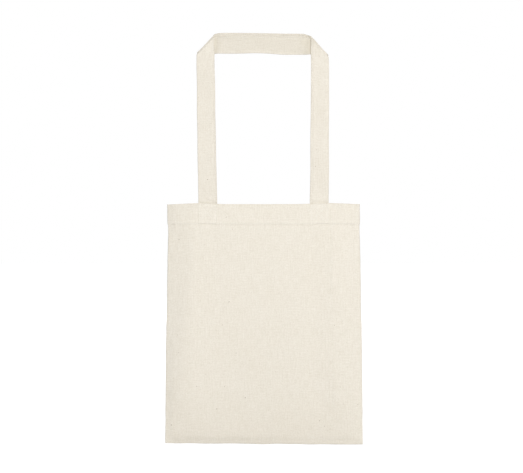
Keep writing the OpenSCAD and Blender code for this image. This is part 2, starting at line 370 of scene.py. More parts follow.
def sheet_piece(name, outer, inner, uv, wear_and_shade, flip, material):
    """A thin closed sheet from two grids of points (rows, columns), rimmed all round. The rim
    at the middle of the bag is sharp, so that two halves meet without a shading line."""
    rows, cols = outer.shape[:2]
    n = rows * cols
    a = np.arange(n).reshape(rows, cols)
    b = a + n
    quads = [
        grid_quads(a),
        np.stack([b[:-1, :-1], b[1:, :-1], b[1:, 1:], b[:-1, 1:]], -1).reshape(-1, 4),
        np.stack([a[0, 1:], a[0, :-1], b[0, :-1], b[0, 1:]], -1),
        np.stack([a[-1, :-1], a[-1, 1:], b[-1, 1:], b[-1, :-1]], -1),
        np.stack([a[:-1, 0], a[1:, 0], b[1:, 0], b[:-1, 0]], -1),
        np.stack([a[1:, -1], a[:-1, -1], b[:-1, -1], b[1:, -1]], -1),
    ]
    faces = np.vstack(quads)
    if flip:
        faces = faces[:, ::-1]
    verts = np.vstack([outer.reshape(-1, 3), inner.reshape(-1, 3)])
    uvs = np.vstack([uv.reshape(-1, 2), uv.reshape(-1, 2)])
    both_faces_wear_and_shade = np.concatenate([wear_and_shade.ravel(), wear_and_shade.ravel()])
    piece = new_piece(name, verts, faces.tolist(), uvs, both_faces_wear_and_shade, material)
    in_middle = np.zeros(2 * n, bool)
    in_middle[a[:, 0]] = in_middle[b[:, 0]] = True
    mark_sharp(piece.data, in_middle)
    return piece


def mark_sharp(mesh, in_middle):
    """Sharp edges where both ends are marked vertices."""
    pairs = np.empty(len(mesh.edges) * 2, np.int32)
    mesh.edges.foreach_get("vertices", pairs)
    pairs = pairs.reshape(-1, 2)
    sharp = in_middle[pairs[:, 0]] & in_middle[pairs[:, 1]]
    found = mesh.attributes.get("sharp_edge")
    layer = found or mesh.attributes.new("sharp_edge", "BOOLEAN", "EDGE")
    layer.data.foreach_set("value", sharp)


def graded(low, high, step, spots):
    """Values from low to high about a step apart, closer round each (place, reach, step) spot."""
    out = [low]
    while out[-1] < high - 1e-9:
        here = out[-1]
        size = step
        for place, reach, small in spots:
            near = max(0.0, abs(here - place) - reach)
            size = min(size, small + near * 0.25)
        out.append(min(high, here + size))
    if out[-1] - out[-2] < 0.4 * step:
        out.pop(-2)
    return np.array(out)


# Distances up the cloth from the bottom edge: up the panel, over the mouth and down the hem
PANEL_V = MOUTH - FOLD_R - BOTTOM
OVER_V = PANEL_V + math.pi * FOLD_R
END_V = OVER_V + HEM_H - FOLD_R


def cloth_rows():
    """Nominal height, angle round the mouth's fold and cloth distance of each row of a panel."""
    row_z = MOUTH - HEM_ROW - BOTTOM
    up = graded(0, PANEL_V, GRID, [(0, 1 * MM, 0.35 * MM), (row_z, 3 * MM, 0.45 * MM),
                                   (PANEL_V, 1 * MM, 0.5 * MM), (row_z + 17 * MM, 15 * MM, 1 * MM)])
    over = np.linspace(PANEL_V, OVER_V, 9)[1:-1]
    down = graded(OVER_V, END_V, GRID, [(END_V, 1 * MM, 0.5 * MM), (OVER_V, 0, 0.5 * MM)])
    v = np.concatenate([up, over, down])
    angle = np.clip((v - PANEL_V) / FOLD_R, 0, math.pi)
    past_panel = MOUTH - FOLD_R - np.maximum(v - OVER_V, 0)
    return np.where(v <= PANEL_V, BOTTOM + v, past_panel), angle, v


def cloth_columns():
    """Columns across half the bag, 0 in the middle to 1 at the seam, closer at the seam and strap."""
    spots = [(MOUTH_HALF, 1.2 * MM, 0.3 * MM), (STRAP_X, STRAP_W / 2 + 1 * MM, 1 * MM)]
    return graded(0, MOUTH_HALF, GRID, spots) / MOUTH_HALF


def panel_points(u, z, angle, side):
    """Both faces of the cloth of one side of the bag, hem included."""
    out = bag_face(u, z, side, sags[side])
    gap = side * (SEAM_Y - out[..., 1])  # room between this face and the seam plane
    radius = np.minimum(FOLD_R, 0.42 * np.maximum(gap, 1e-5))
    out[..., 1] += side * radius * (1 - np.cos(angle))
    out[..., 2] += FOLD_R * np.sin(angle)
    in_hem = angle >= math.pi - 1e-6
    thick = np.where(in_hem, 1.2 * MM, np.where(angle > 0, 0.72 * MM, CLOTH))
    thick = np.minimum(thick, np.maximum(0.85 * radius * np.where(in_hem, 1.5, 1.0), 0.02 * MM))
    inner = out.copy()
    inner[..., 1] += side * thick * np.cos(angle)
    inner[..., 2] -= thick * np.sin(angle)
    return out, inner


def panel_wear_and_shade(u, z, angle, side):
    """How dull the cloth is, 0 to 1: least where it is pulled tight over the strap ends, more worn at
    the folded mouth and the seams, and painted shade at the bottom corners, most at each panel's own
    left."""
    half = half_width(z)
    e = (1 - np.abs(u)) * half
    f = z - BOTTOM
    rub = np.maximum(bell(np.minimum(e, f) / (2.2 * MM)), bell((MOUTH - z) / (2.0 * MM)) * (angle < 2.5))
    # painted shade: the bottom corners are darkened, the panel's own left one most
    left_corner = 0.75 * bell(np.hypot((half + u * side * half) / (38 * MM), f / (60 * MM)))
    right_corner_shade = 0.25 * bell(np.hypot((half - u * side * half) / (24 * MM), f / (60 * MM)))
    x = u * half
    over_strap = smooth((STRAP_W / 2 - np.abs(np.abs(x) - STRAP_X)) / (1.5 * MM) + 0.5)
    over_strap = over_strap * smooth((z - MOUTH + TAIL_H) / (1.5 * MM) + 0.5)
    return np.clip(0.45 * (1 - over_strap) + rub + left_corner + right_corner_shade, 0, 1)


def panel_half(name, side, hand, material):
    z, angle, v = cloth_rows()
    u = cloth_columns() * hand
    uu, zz = np.meshgrid(u, z)
    aa = np.broadcast_to(angle[:, None], uu.shape)
    vv = np.broadcast_to(v[:, None], uu.shape)
    outer, inner = panel_points(uu, zz, aa, side)
    uv = np.stack([uu * half_width(zz), vv + (0.5 if side < 0 else 0)], -1)
    wear_and_shade = panel_wear_and_shade(uu, zz, aa, side)
    return sheet_piece(name, outer, inner, uv, wear_and_shade, hand * side < 0, material)


# ---- stitches


def stitch_loops(paths, radius=THREAD_R, sides=6):
    """Verts, faces and uvs of separate stitches. Each path is (points (n, 3), normals (n, 3))."""
    verts, faces, uvs = [], [], []
    ring = np.arange(sides) * 2 * np.pi / sides
    for points, normals in paths:
        n = len(points)
        tangent = np.gradient(points, axis=0)
        tangent /= np.linalg.norm(tangent, axis=1, keepdims=True)
        side = np.cross(tangent, normals)
        side /= np.linalg.norm(side, axis=1, keepdims=True)
        up = np.cross(side, tangent)
        taper = np.sin(np.linspace(0.18, np.pi - 0.18, n)) ** 0.35 * radius
        # the thread is pressed a little flat on the cloth
        circle = (side[:, None] * np.cos(ring)[None, :, None] * 1.15
                  + up[:, None] * np.sin(ring)[None, :, None] * 0.85) * taper[:, None, None]
        base = len(verts)
        verts += (points[:, None] + circle).reshape(-1, 3).tolist()
        lengths = np.concatenate([[0], np.cumsum(np.linalg.norm(np.diff(points, axis=0), axis=1))])
        for i in range(n):
            uvs += [(lengths[i], radius * a) for a in ring]
        for i in range(n - 1):
            for j in range(sides):
                k = (j + 1) % sides
                faces.append((base + i * sides + j, base + i * sides + k,
                              base + (i + 1) * sides + k, base + (i + 1) * sides + j))
        faces.append(tuple(base + j for j in reversed(range(sides))))
        faces.append(tuple(base + (n - 1) * sides + j for j in range(sides)))
    return np.array(verts), faces, np.array(uvs)


def stitches_along(surface, length, pitch=STITCH, fill=0.8, points=6, height=0.12 * MM):
    """Stitches along a line on a surface. surface(s) gives points and outward normals at the
    distances s along the line. Each stitch arches off the cloth and dips into it at both ends."""
    paths = []
    count = max(1, int(length / pitch))
    step = length / count
    for i in range(count):
        s = i * step + step * np.linspace((1 - fill) / 2, (1 + fill) / 2, points)
        p, n = surface(s)
        arch = np.sin(np.linspace(0, np.pi, points)) * 1.6 - 0.6
        paths.append((p + n * (arch * height)[:, None], n))
    return paths


def stitch_piece(name, paths, material, radius=THREAD_R):
    verts, faces, uv = stitch_loops(paths, radius)
    return new_piece(name, verts, faces, uv, None, material)


def face_line(side, a, b, inside=False):
    """surface(s) for a straight row on a panel, from a to b as (x, nominal z). inside puts it on
    the hem's inner face."""
    length = math.dist(a, b)

    def surface(s):
        t = s / length
        x = a[0] + (b[0] - a[0]) * t
        z = a[1] + (b[1] - a[1]) * t
        u = x / half_width(z)
        p = bag_face(u, z, side, sags[side])
        n = np.zeros_like(p)
        n[:, 1] = -side
        if inside:
            p[:, 1] += side * 2 * FOLD_R
            n[:, 1] = side
        return p, n
    return surface, length


def level_line(a, b, y, facing, height=lambda x, z: z):
    """surface(s) for a straight row at depth y, from a to b as (x, z), facing -Y or +Y. height
    gives the real height of a nominal (x, z)."""
    length = math.dist(a, b)

    def surface(s):
        t = s / length
        x = a[0] + (b[0] - a[0]) * t
        z = height(x, a[1] + (b[1] - a[1]) * t)
        return np.stack([x, y + 0 * x, z], -1), np.stack([0 * x, facing + 0 * x, 0 * x], -1)
    return surface, length


# ---- straps

FOLD_MID_R = abs(RUN_Y - LEG_Y) / 2


class Strap:
    """A handle strap laid out flat and then folded: s is the distance up the left leg and along
    the run to the middle, t the distance across from the strap's centre line towards the loop,
    n the distance off its middle surface towards the side that faces out on a leg."""

    def __init__(self, run_z, side, lean):
        """run_z is the height of the run's lower edge, lean how far the loop's top is to the right."""
        self.run_mid = run_z + STRAP_W / 2
        self.side = side
        self.lean = lean
        self.shift = (2 * (FOLD_MID_R + STRAP_T / 2) - math.pi * FOLD_MID_R) / math.sqrt(2)
        self.crease_z = self.run_mid + self.shift
        self.start = MOUTH - TAIL_H
        self.middle = self.crease_z + LEG_TOP_X - self.shift

    def width(self, s):
        """The strap narrows slightly up the leg, where it is pulled longer and tighter."""
        pulled = np.clip((s - MOUTH) / (self.run_mid - MOUTH), 0, 1)
        return 1.02 - 0.075 * pulled - (0.02 if self.side < 0 else 0.0)

    def place(self, s, t, n):
        """Points of the strap's left half, folded but not yet hanging, and its outward normals. y
        is here the distance out from the bag's middle plane."""
        s, t, n = np.broadcast_arrays(s, t, n)
        t = t * self.width(s)
        r, c0 = FOLD_MID_R, -(FOLD_MID_R + STRAP_T / 2)
        dx, dz = t, s - self.crease_z
        along_fold = (dx + dz) / math.sqrt(2)
        d = (dz - dx) / math.sqrt(2)
        a = d - c0
        phi = np.clip(a / r, 0, math.pi)
        past = np.maximum(a - math.pi * r, 0)
        across = np.where(a < 0, d, c0 + r * np.sin(phi) - past)
        depth = r * (1 - np.cos(phi))
        across = across + n * np.sin(phi)
        depth = depth - n * np.cos(phi)
        x = -LEG_TOP_X + (along_fold - across) / math.sqrt(2)
        z = self.crease_z + (along_fold + across) / math.sqrt(2)
        y = abs(LEG_Y) - depth
        normal = np.stack([-np.sin(phi) / math.sqrt(2), np.cos(phi), np.sin(phi) / math.sqrt(2)], -1)
        return np.stack([x, y, z], -1), normal

    def settle(self, p, hand):
        """How the folded strap hangs: its legs splay, lean, ripple and crease, the folds droop, the
        right one more, and the run has wavy edges and leans forward. hand is as in at()."""
        x, y, z = p[..., 0] * -hand, p[..., 1], p[..., 2]
        up = np.clip((z - MOUTH) / (self.run_mid - MOUTH), -0.2, 1.2)
        x = x * (1 - (1 - STRAP_X / LEG_TOP_X) * (1 - up))
        free = smooth((z - MOUTH) / (60 * MM))
        above = z - (self.run_mid - STRAP_W / 2)
        on_run = smooth((above + 6 * MM) / (12 * MM))
        z = z + self.lift(x, up, np.clip(above / STRAP_W, -0.3, 1.3), on_run, hand)
        x = x + self.sway(up, z, hand) * free
        ripple = strap_waves(z * 0.8 + self.side, x * 1.2 + hand)
        y = y + 0.35 * MM * ripple * free * (1 - 0.75 * on_run)
        y = y + self.run_depth(x, z, hand) * on_run + self.creases(x, z, hand)
        return np.stack([x, -self.side * y, z], -1)

    def lift(self, x, up, high, on_run, hand):
        """The run's wavy edges, less the droop of the fold and of the run's corner beside it."""
        past = np.abs(x) - LEG_INNER_X  # outwards from the leg's inner edge
        fold_droop, corner_droop = (6 * MM, 3 * MM) if hand > 0 else (1.6 * MM, 0.3 * MM)
        fold = smooth((past + 4 * MM) / STRAP_W) * fold_droop * np.clip(up, 0, 1) ** 2
        at_corner = smooth((past + 13 * MM) / (15 * MM)) * smooth((22 * MM - past) / (22 * MM))
        corner = at_corner * corner_droop * on_run * np.clip(high, 0, 1)
        top, low = self.run_edges(x)
        free_run = smooth((6 * MM - past) / (12 * MM))
        return (top * high + low * (1 - high)) * on_run * free_run - fold - corner

    def sway(self, up, z, hand):
        """The loop's sideways lean, and legs that stand a little wider between their ends."""
        wider = 0.5 * MM * hand * smooth(up / 0.12) * smooth((0.97 - up) / 0.12)
        return (self.lean + 0.4 * MM * hand) * up + wider + 0.15 * MM * strap_waves(hand * 0.1, z)

    def run_depth(self, x, z, hand):
        """The run's forward lean, a bulge before its right fold and a hollow beside each fold."""
        past = np.abs(x) - LEG_INNER_X
        off_mid = z - self.run_mid
        if self.side < 0:
            off_mid = np.minimum(off_mid, 7 * MM)  # the back run's top edge stays upright
        depth = self.side * RUN_TILT * off_mid * smooth((-3 * MM - past) / (18 * MM))
        if hand > 0:
            bulge = smooth((past + 28 * MM) / (24 * MM)) * smooth((-0.5 * MM - past) / (3.5 * MM))
            depth = depth + 1.2 * MM * bulge
            past = past + 8 * MM  # this side's hollow lies further in
        return depth - self.side * 1.6 * MM * bell(past / (5.5 * MM))

    def creases(self, x, z, hand):
        """Small folds across each leg where it comes out of the mouth: one on the right leg, and
        on the left a slanting one above a level one."""
        h = z - MOUTH
        if hand > 0:
            return 0.7 * MM * bell((h - 6.2 * MM) / (2.2 * MM))
        off = x + STRAP_X  # from the left leg's centre line
        upper = 0.85 * MM * bell((h - 9.5 * MM + 0.4 * off) / (1.9 * MM))
        lower = 0.6 * MM * bell((h - 4.6 * MM) / (1.7 * MM))
        return upper * smooth((off + 6 * MM) / (8 * MM)) + lower * smooth((8 * MM - off) / (10 * MM))

    def run_edges(self, x):
        """How far the run's top and lower edges wander, along x."""
        if self.side > 0:
            low = 1.5 * MM * bell((x + 13 * MM) / (19 * MM)) - 1.9 * MM * smooth((x - 4 * MM) / (40 * MM))
            low = low + 1.2 * MM * (1 - smooth((x - 8 * MM) / (28 * MM)))
            return 0 * x, low
        top = 1.7 * MM * (1 - 0.85 * smooth((x + 55 * MM) / (110 * MM))) + 0.7 * MM
        return top, 0.8 * MM * strap_waves(x, 0 * x)

    def at(self, s, t, n, hand):
        """Settled points and normals. hand is -1 for the left half and 1 for the right half."""
        p, normal = self.place(s, t, n)
        normal = normal.copy()
        normal[..., 0] *= -hand
        normal[..., 1] *= -self.side
        return self.settle(p, hand), normal

    def rings(self):
        """Distance and slant of each ring of the mesh; rings lie along the crease at the fold."""
        reach = STRAP_W * 1.1
        arc = math.pi * FOLD_MID_R * math.sqrt(2)
        crease = self.crease_z - (FOLD_MID_R + STRAP_T / 2) * math.sqrt(2)
        leg = graded(self.start, crease - reach, RING, [(MOUTH + 6 * MM, 6 * MM, 1 * MM)])[:-1]
        turn_in = np.linspace(crease - reach, crease, 26)[:-1]
        fold = np.linspace(crease, crease + arc, 15)
        out_end = crease + arc + reach
        turn_out = np.linspace(crease + arc, out_end, 26)[1:]
        run = np.linspace(out_end, self.middle, max(3, int((self.middle - out_end) / RING)))[1:]
        s = np.concatenate([leg, turn_in, fold, turn_out, run])
        slant = smooth((s - crease + reach) / reach) * smooth((out_end - s) / reach)
        return s, slant


def strap_section():
    """Closed outline (t, n) of a pressed four-layer strap: rounded edges and, on both faces, the
    groove that the edge stitching pulls in."""
    half, r = STRAP_W / 2, STRAP_T / 2
    row = half - STITCH_INSET
    flat = np.concatenate([np.linspace(-half + r, row - 2 * MM, 15),
                           np.linspace(row - 1.2 * MM, row + 1.2 * MM, 7),
                           np.linspace(row + 1.7 * MM, half - r, 2)])
    thick = r * (1 - 0.42 * bell((flat - row) / (0.8 * MM)) - 0.10 * bell(flat / (9 * MM)))
    turn = np.linspace(0, math.pi, 9)[1:-1]
    top = np.stack([flat, thick], -1)
    right = np.stack([half - r + r * np.sin(turn), r * np.cos(turn)], -1)
    left = np.stack([-half + r - r * np.sin(turn), -r * np.cos(turn)], -1)
    return np.vstack([top, right, top[::-1] * [1, -1], left])


def strap_piece(name, strap, material):
    section = strap_section()
    s, slant = strap.rings()
    k = len(section)
    t, n = section[:, 0], section[:, 1]
    grids, dist = [], []
    for hand in (-1, 1):
        ss = s[:, None] + slant[:, None] * t[None, :]
        p, _ = strap.at(ss, t[None, :] + 0 * ss, n[None, :] + 0 * ss, hand)
        grids.append(p)
        dist.append(ss)
    whole = np.concatenate([grids[0], grids[1][-2::-1]])
    length = np.concatenate([dist[0], 2 * strap.middle - dist[1][-2::-1]])
    rows = len(whole)
    idx = np.arange(rows * k).reshape(rows, k)
    nxt = np.roll(idx, -1, axis=1)
    quads = np.stack([idx[:-1], nxt[:-1], nxt[1:], idx[1:]], -1).reshape(-1, 4)
    if strap.side < 0:
        quads = quads[:, ::-1]
    faces = quads.tolist()
    ends = [idx[0][::-1].tolist(), idx[-1].tolist()]
    faces += ends if strap.side > 0 else [e[::-1] for e in ends]
    around = np.concatenate([[0], np.cumsum(np.linalg.norm(np.diff(section, axis=0), axis=1))])
    uv = np.stack([np.broadcast_to(around, (rows, k)), length + strap.side * 2.0], -1).reshape(-1, 2)
    # duller along the edges and on the strap's inner face; beside the legs, where the run leaves the
    # folds, painted shade
    reverse = 0.27 * smooth(-n / (STRAP_T / 2))
    edge = 0.3 * bell((STRAP_W / 2 - np.abs(t)) / (1.2 * MM))
    past_fold = np.minimum(length, 2 * strap.middle - length) - strap.crease_z - STRAP_W / 2
    on_right = smooth((length - strap.middle) / STRAP_W)
    fold_shade = (0.55 + 0.18 * on_right) * bell(past_fold / ((6 + 9 * on_right) * MM))
    wear_and_shade = (np.maximum(edge, reverse) + fold_shade).ravel()
    return new_piece(name, whole.reshape(-1, 3), faces, uv, wear_and_shade, material)


def strap_edge_stitches(strap):
    """The row near the strap's inner edge, on both of its faces, from the mouth over both folds."""
    t = STRAP_W / 2 - STITCH_INSET
    depth = STRAP_T / 2 * 0.72  # the stitches lie in the groove
    paths = []
    begin = MOUTH + 1.5 * MM
    for hand in (-1, 1):
        for face in (1, -1):
            def surface(s):
                p, normal = strap.at(begin + s, t, face * depth, hand)
                return p, normal * face
            paths += stitches_along(surface, strap.middle - begin)
    return paths


# ---- seam allowances


def allowance_piece(name, a, b, across, y_mid):
    """Two layers of raw cloth from the seam inwards, a to b along the seam, wavy at the free edge."""
    a, b, across = np.array(a), np.array(b), np.array(across)
    g, h = np.meshgrid(np.linspace(0, 1, 9), np.linspace(0, 1, 120))
    p = a + (b - a) * h[..., None] + across * (g * ALLOWANCE)[..., None]
    dist = h * math.dist(a, b)
    wave = ALLOWANCE_WAVE * g * edge_waves(dist, g * 0.01)
    outer, inner = p.copy(), p.copy()
    outer[..., 1] = y_mid - CLOTH + wave
    inner[..., 1] = y_mid + CLOTH + wave
    uv = np.stack([g * ALLOWANCE, dist], -1)
    flip = np.cross(across, b - a)[1] > 0
    return sheet_piece(name, outer, inner, uv, 0 * g, flip, seam_cloth)


def overlock_paths(a, b, across, y_mid):
    """Zigzag thread wrapped round the free edge of an allowance."""
    a, b, across = np.array(a), np.array(b), np.array(across)
    length = np.linalg.norm(b - a)
    pitch, reach = 3.0 * MM, 4.2 * MM
    paths = []
    for i in range(int(length / pitch)):
        s = (i + 0.5) * pitch / length
        foot = a + (b - a) * s + across * ALLOWANCE
        lean = (b - a) / length * pitch * 0.5
        off = CLOTH + 0.3 * MM
        loop = [(-reach, -off, -1), (-reach * 0.5, -off, 0), (0.0, -off, 1), (0.35 * MM, 0, 1.1),
                (0.0, off, 1), (-reach * 0.5, off, 0), (-reach, off, -1)]
        pts = np.array([foot + across * d + lean * k + np.array([0, y, 0]) for d, y, k in loop])
        pts[:, 1] += y_mid + ALLOWANCE_WAVE * edge_waves(s * length, 0.01)
        normals = np.array([[0, -1, 0], [0, -1, 0], across * 0.7 + [0, -0.7, 0], across,
                            across * 0.7 + [0, 0.7, 0], [0, 1, 0], [0, 1, 0]], float)
        paths.append((pts, normals))
    return paths


# ---- materials

CANVAS_COLOUR = (0.800, 0.757, 0.676)
STRAP_COLOUR = (0.770, 0.727, 0.646)
THREAD_COLOUR = (0.90, 0.865, 0.79)
FLECK_COLOUR = (0.20, 0.13, 0.07)
MOTTLE_TINT = (0.80, 0.76, 0.68)  # times the cloth's colour, where it is mottled
WORN_AND_SHADED_TINT = (0.86, 0.845, 0.80)  # and where it is dull, from wear and from painted shade


class Nodes:
    """A few short calls to build a node tree."""

    def __init__(self, material):
        material.use_nodes = True
        self.tree = material.node_tree
        self.shader = self.tree.nodes["Principled BSDF"]

    def add(self, kind, **values):
        node = self.tree.nodes.new(kind)
        for key, value in values.items():
            if hasattr(node, key):
                setattr(node, key, value)
            else:
                node.inputs[key.replace("_", " ")].default_value = value
        return node

    def link(self, a, b):
        self.tree.links.new(a, b)

    def math(self, op, a, b=0.0, c=None, clamp=False):
        node = self.tree.nodes.new("ShaderNodeMath")
        node.operation = op
        node.use_clamp = clamp
        for i, value in enumerate([a, b] + ([c] if c is not None else [])):
            if isinstance(value, (int, float)):
                node.inputs[i].default_value = value
            else:
                self.link(value, node.inputs[i])
        return node.outputs[0]

    def mix(self, factor, a, b, blend="MIX"):
        node = self.tree.nodes.new("ShaderNodeMix")
        node.data_type = "RGBA"
        node.blend_type = blend
        for socket, value in ((node.inputs[0], factor), (node.inputs[6], a), (node.inputs[7], b)):
            if isinstance(value, (int, float)):
                socket.default_value = value
            elif isinstance(value, tuple):
                socket.default_value = (*value, 1.0)
            else:
                self.link(value, socket)
        return node.outputs[2]

    def noise(self, vector, scale, detail=3.0, roughness=0.55):
        node = self.add("ShaderNodeTexNoise", Scale=scale, Detail=detail, Roughness=roughness)
        self.link(vector, node.inputs["Vector"])
        return node.outputs["Fac"]

    def stretch(self, vector, x, y):
        node = self.add("ShaderNodeMapping", Scale=(x, y, 1))
        self.link(vector, node.inputs["Vector"])
        return node.outputs["Vector"]

    def vary(self, value, amount, base, clamp=False):
        """base, moved by amount times the value's distance from 0.5."""
        return self.math("MULTIPLY_ADD", self.math("SUBTRACT", value, 0.5), amount, base, clamp)

    def parts(self, kind, vector):
        """The three numbers of a vector or a colour."""
        node = self.add(kind)
        self.link(vector, node.inputs[0])
        return node.outputs


def tinted(colour, tint):
    return tuple(c * k for c, k in zip(colour, tint))


def canvas_material(name, colour, seed, soil_and_shade=0.10):
    """Undyed plain-weave cotton: threads over and under, slubs, seed flecks, slow mottling. The last
    argument is how strongly the per-vertex dullness, which holds wear and painted shade, dulls it."""
    material = bpy.data.materials.new(name)
    g = Nodes(material)
    uv = g.add("ShaderNodeUVMap", uv_map="cloth").outputs["UV"]
    shift = g.add("ShaderNodeMapping", Location=(seed * 0.37, seed * 0.73, 0))
    g.link(uv, shift.inputs["Vector"])
    cloth = shift.outputs["Vector"]
    bend = g.add("ShaderNodeTexNoise", Scale=260.0, Detail=2.0)
    g.link(cloth, bend.inputs["Vector"])
    place = g.parts("ShaderNodeSeparateXYZ", cloth)
    wobble = g.parts("ShaderNodeSeparateColor", bend.outputs["Color"])
    x, y = (g.vary(wobble[i], WEAVE * 0.9, place[i]) for i in (0, 1))
    sx, sy = (g.math("SINE", g.math("MULTIPLY", a, math.pi / WEAVE)) for a in (x, y))
    ax, ay = g.math("ABSOLUTE", sx), g.math("ABSOLUTE", sy)
    warp_up = g.math("MULTIPLY_ADD", g.math("MULTIPLY", sx, sy), 2.5, 0.5, clamp=True)
    warp = g.math("MULTIPLY", ax, g.math("MULTIPLY_ADD", ay, 0.5, 0.5))
    weft = g.math("MULTIPLY", ay, g.math("MULTIPLY_ADD", ax, 0.5, 0.5))
    height = g.math("ADD", g.math("MULTIPLY", warp, warp_up),
                    g.math("MULTIPLY", weft, g.math("SUBTRACT", 1.0, warp_up)))
    warp_slub = g.noise(g.stretch(cloth, 1.0, 0.10), 560.0, 3.0)
    weft_slub = g.noise(g.stretch(cloth, 0.12, 1.0), 560.0, 3.0)
    slub = g.math("ADD", g.math("MULTIPLY", warp_slub, 0.55), g.math("MULTIPLY", weft_slub, 0.45))
    grain = g.noise(cloth, 380.0, 3.0, 0.75)
    mottle = g.noise(cloth, 16.0, 4.0, 0.6)
    # brightness: gaps between threads are darker, slubs lighter, slow mottling over the cloth
    shade = g.math("MULTIPLY_ADD", height, 0.13, 0.905)
    for noise, amount in ((slub, 0.34), (grain, 0.30), (mottle, 0.07)):
        shade = g.vary(noise, amount, shade)
    base = g.mix(g.vary(mottle, 0.5, 0.10, clamp=True), colour, tinted(colour, MOTTLE_TINT))
    # the dull tint stands for real wear and, at the bottom corners and beside the handles' folds, painted
    # shade
    worn_and_shaded = g.add("ShaderNodeAttribute", attribute_name="wear_and_shade").outputs["Fac"]
    base = g.mix(g.math("MULTIPLY", worn_and_shaded, soil_and_shade * 3), base, tinted(colour, WORN_AND_SHADED_TINT))
    # seed flecks: small dark specks of chance size and depth, thinly spread
    spots = g.add("ShaderNodeTexVoronoi", Scale=150.0)
    g.link(g.stretch(cloth, 1.0, 0.7), spots.inputs["Vector"])
    chance = g.parts("ShaderNodeSeparateColor", spots.outputs["Color"])
    size = g.math("MULTIPLY_ADD", g.math("POWER", chance[1], 3.0), 0.075, 0.030)
    speck = g.math("MULTIPLY", g.math("LESS_THAN", spots.outputs["Distance"], size),
                   g.math("GREATER_THAN", chance[0], 0.35))
    speck = g.math("MULTIPLY", speck, g.math("MULTIPLY_ADD", chance[2], 0.45, 0.2))
    base = g.mix(speck, base, FLECK_COLOUR)
    shaded = g.add("ShaderNodeCombineColor")
    for i, depth in enumerate((0.88, 1.0, 1.25)):  # shadows between the threads are warmer
        g.link(g.math("MULTIPLY_ADD", shade, depth, 1 - depth), shaded.inputs[i])
    g.link(g.mix(1.0, base, shaded.outputs[0], "MULTIPLY"), g.shader.inputs["Base Color"])
    rough = g.math("MULTIPLY_ADD", height, -0.08, 0.96)
    g.link(rough, g.shader.inputs["Roughness"])
    bumps = g.math("ADD", height, g.math("MULTIPLY", slub, 0.8))
    bumps = g.math("ADD", bumps, g.math("MULTIPLY", grain, 0.4))
    bump = g.add("ShaderNodeBump", Strength=0.55, Distance=0.16 * MM)
    g.link(bumps, bump.inputs["Height"])
    g.link(bump.outputs[0], g.shader.inputs["Normal"])
    g.shader.inputs["Specular IOR Level"].default_value = 0.25
    g.shader.inputs["Sheen Weight"].default_value = 0.12
    g.shader.inputs["Sheen Roughness"].default_value = 0.6
    return material


def thread_material(name, colour):
    """Two-ply cotton thread: a slanting twist in colour and relief."""
    material = bpy.data.materials.new(name)
    g = Nodes(material)
    uv = g.add("ShaderNodeUVMap", uv_map="cloth").outputs["UV"]
    place = g.parts("ShaderNodeSeparateXYZ", uv)
    turn = g.math("MULTIPLY_ADD", place[1], 3700.0, g.math("MULTIPLY", place[0], 5200.0))
    twist = g.math("MULTIPLY_ADD", g.math("SINE", turn), 0.5, 0.5)
    fuzz = g.noise(uv, 1500.0, 3.0)
    tone = g.math("ADD", g.math("MULTIPLY", twist, 0.6), g.math("MULTIPLY", fuzz, 0.4))
    dark = tinted(colour, (0.80, 0.80, 0.80))
    g.link(g.mix(tone, dark, colour), g.shader.inputs["Base Color"])
    g.link(g.math("MULTIPLY_ADD", fuzz, 0.2, 0.7), g.shader.inputs["Roughness"])
    bump = g.add("ShaderNodeBump", Strength=0.6, Distance=0.1 * MM)
    g.link(twist, bump.inputs["Height"])
    g.link(bump.outputs[0], g.shader.inputs["Normal"])
    g.shader.inputs["Specular IOR Level"].default_value = 0.3
    g.shader.inputs["Sheen Weight"].default_value = 0.1
    return material


front_cloth = canvas_material("front_canvas", CANVAS_COLOUR, 1)
back_cloth = canvas_material("back_canvas", CANVAS_COLOUR, 2)
seam_cloth = canvas_material("seam_canvas", CANVAS_COLOUR, 3, soil_and_shade=0.0)
strap_cloth = canvas_material("strap_canvas", STRAP_COLOUR, 5, soil_and_shade=0.33)
thread = thread_material("cotton_thread", THREAD_COLOUR)

# ---- pieces

HANDS = {"left": -1, "right": 1}
SIDES = {"front": 1, "back": -1}


def hold(piece, body, hand=0):
    """The back's pieces, and front pieces given no hand, ride their body whole. The front is sewn to the
    back at its side seams; its halves are baked in place and ride no body.
    """
    if body == "front" and hand:
        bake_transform(piece)
    else:
        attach(piece, body)


def make_panels():
    for side_name, side in SIDES.items():
        cloth = front_cloth if side > 0 else back_cloth
        for hand_name, hand in HANDS.items():
            piece = panel_half(f"{side_name}_canvas_{hand_name}", side, hand, cloth)
            hold(piece, side_name, hand)
            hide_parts(f"{side_name}_panel", f"{side_name}_hem")


def make_hem_stitches():
    for side_name, side in SIDES.items():
        for hand_name, hand in HANDS.items():
            far = hand * (MOUTH_HALF - 4 * MM)
            row = MOUTH - HEM_ROW
            paths = []
            for inside in (False, True):
                line, length = face_line(side, (0.0, row), (far, row), inside)
                paths += stitches_along(line, length)
            piece = stitch_piece(f"{side_name}_hem_stitches_{hand_name}", paths, thread)
            hold(piece, side_name, hand)
            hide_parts(f"{side_name}_hem_stitch")


def make_box_stitches():
    for side_name, side in SIDES.items():
        for hand_name, hand in HANDS.items():
            paths = []
            for a, b in box_lines():
                a, b = (a[0] * hand, a[1]), (b[0] * hand, b[1])
                line, length = face_line(side, a, b)
                paths += stitches_along(line, length, pitch=BOX_STITCH)
                strap_y = -side * (abs(LEG_Y) - STRAP_T / 2)
                line, length = level_line(a, b, strap_y, side, place_z)
                paths += stitches_along(line, length, pitch=BOX_STITCH)
            piece = stitch_piece(f"{side_name}_{hand_name}_box_stitches", paths, thread)
            hold(piece, side_name)
            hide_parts(f"{side_name}_{hand_name}_box_stitch")


